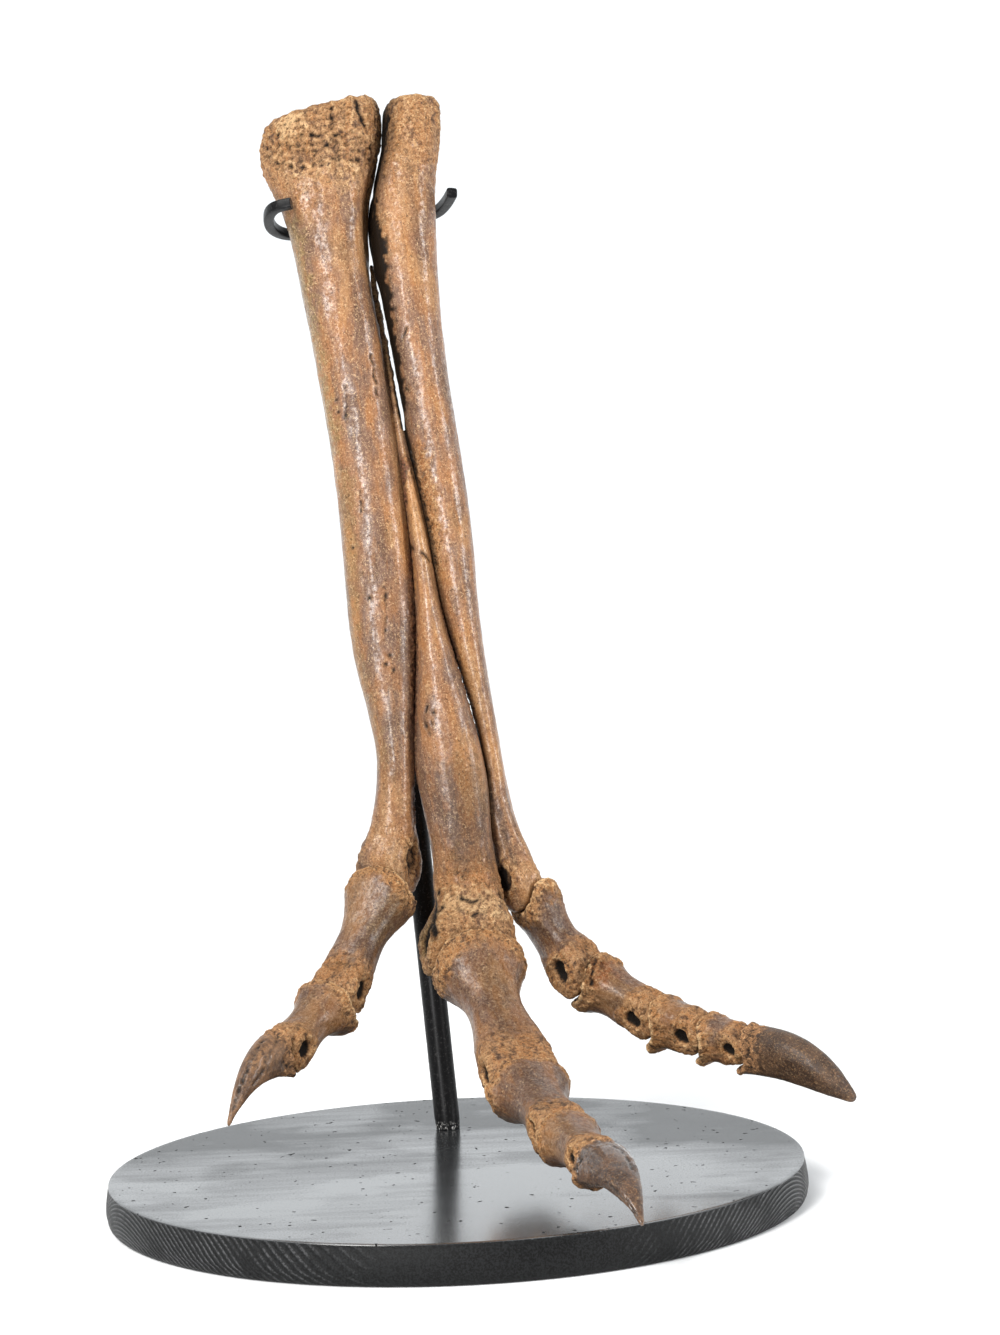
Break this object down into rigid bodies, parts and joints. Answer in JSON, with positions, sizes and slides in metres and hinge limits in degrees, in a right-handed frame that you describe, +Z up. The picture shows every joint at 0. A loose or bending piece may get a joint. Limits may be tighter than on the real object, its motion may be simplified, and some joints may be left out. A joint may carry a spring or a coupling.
{
  "type": "fossil ornithomimus foot",
  "caption": "Mounted fossil left foot of an ornithomimus: long foot bones, toe bones and claws held in a steel cradle on a post over a round wooden board.",
  "frame": {"origin": "centre of the round board's underside, where the mounted foot rests", "axes": "+Z up, -Y towards the claw tips, +X to the right of somebody who looks at the claws"},
  "size_m": [0.3875, 0.4087, 0.5864],
  "materials": {
    "fossil_bone": "satin with porous ends",
    "fossil_claw": "satin",
    "stained_wood": "satin black stain",
    "black_steel": "satin black paint"
  },
  "bodies": {
    "root": {"metatarsal_2": "fossil_bone", "metatarsal_3": "fossil_bone", "metatarsal_4": "fossil_bone", "toe_2_bone_1": "fossil_bone", "toe_2_bone_2": "fossil_bone", "toe_3_bone_1": "fossil_bone", "toe_3_bone_2": "fossil_bone", "toe_3_bone_3": "fossil_bone", "toe_4_bone_1": "fossil_bone", "toe_4_bone_2": "fossil_bone", "toe_4_bone_3": "fossil_bone", "toe_4_bone_4": "fossil_bone", "toe_2_claw": "fossil_claw", "toe_3_claw": "fossil_claw", "toe_4_claw": "fossil_claw", "base_board": "stained_wood", "post": "black_steel", "yoke": "black_steel"}
  },
  "joints": []
}
